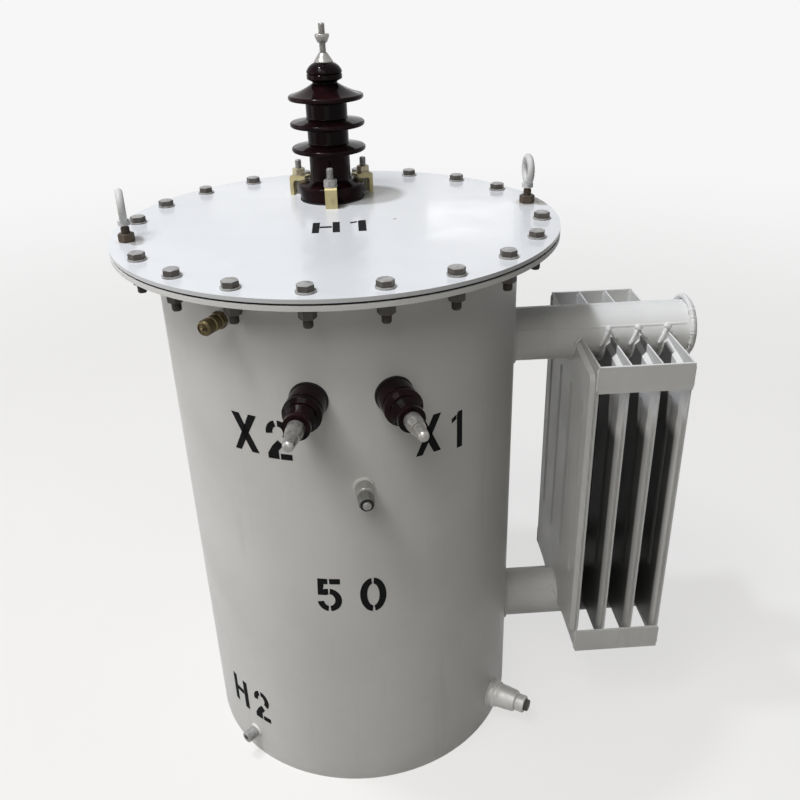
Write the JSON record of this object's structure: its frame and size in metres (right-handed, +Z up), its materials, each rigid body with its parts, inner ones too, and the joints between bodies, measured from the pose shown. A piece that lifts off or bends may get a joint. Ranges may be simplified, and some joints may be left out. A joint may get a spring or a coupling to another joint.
{
  "type": "pole mounted transformer",
  "caption": "Oil-filled pole transformer: round tank with bolted cover, porcelain high and low voltage bushings, lifting eyes, side radiator and rear hanger brackets.",
  "frame": {"origin": "on the tank's axis at floor level, in the plane of the tank's bottom rim", "axes": "+Z up along the tank's axis, +X along the radiator headers, -Y towards the low-voltage bushings, +Y towards the pole"},
  "size_m": [0.8286, 0.6848, 1.0635],
  "materials": {
    "tank_paint": "semi-gloss light grey enamel",
    "cover_paint": "semi-gloss near-white enamel",
    "radiator_paint": "semi-gloss light grey enamel over pressed steel",
    "gasket_rubber": "matt black oil-proof gasket",
    "bushing_glaze": "glossy dark maroon glaze",
    "zinc_steel": "dull bright zinc plate",
    "tinned_metal": "bright tinned terminal",
    "yellow_zinc": "yellow chromated zinc plate",
    "dark_steel": "dark, slightly rusty steel",
    "eye_paint": "weathered light grey paint",
    "valve_brass": "dull brass",
    "valve_steel": "silver-grey cast valve body"
  },
  "bodies": {
    "root": {"tank_shell": "tank_paint", "tank_bottom": "tank_paint", "tank_flange": "tank_paint", "cover_gasket": "gasket_rubber", "cover_plate": "cover_paint", "hv_gasket": "gasket_rubber", "hv_porcelain": "bushing_glaze", "hv_terminal": "tinned_metal", "hv_clamp_1": "yellow_zinc", "hv_clamp_2": "yellow_zinc", "hv_clamp_3": "yellow_zinc", "lv_gasket_left": "gasket_rubber", "lv_gasket_right": "gasket_rubber", "lv_bushing_left": "bushing_glaze", "lv_bushing_right": "bushing_glaze", "lv_terminal_left": "tinned_metal", "lv_terminal_right": "tinned_metal", "eye_stud_left": "dark_steel", "eye_stud_right": "dark_steel", "lifting_eye_left": "eye_paint", "lifting_eye_right": "eye_paint", "earth_boss": "tank_paint", "earth_stud": "zinc_steel", "low_earth_boss": "zinc_steel", "relief_boss": "tank_paint", "relief_valve": "valve_brass", "drain_boss": "valve_steel", "drain_valve": "valve_steel", "drain_plug": "dark_steel", "lower_header": "radiator_paint", "upper_header": "radiator_paint", "lower_header_cap": "radiator_paint", "upper_header_cap": "radiator_paint", "radiator_fin_1": "radiator_paint", "radiator_fin_2": "radiator_paint", "radiator_fin_3": "radiator_paint", "radiator_fin_4": "radiator_paint", "tie_strip_front_bottom": "radiator_paint", "tie_strip_front_top": "radiator_paint", "tie_strip_rear_bottom": "radiator_paint", "tie_strip_rear_top": "radiator_paint", "lower_hanger": "tank_paint", "upper_hanger": "tank_paint"}
  },
  "joints": []
}
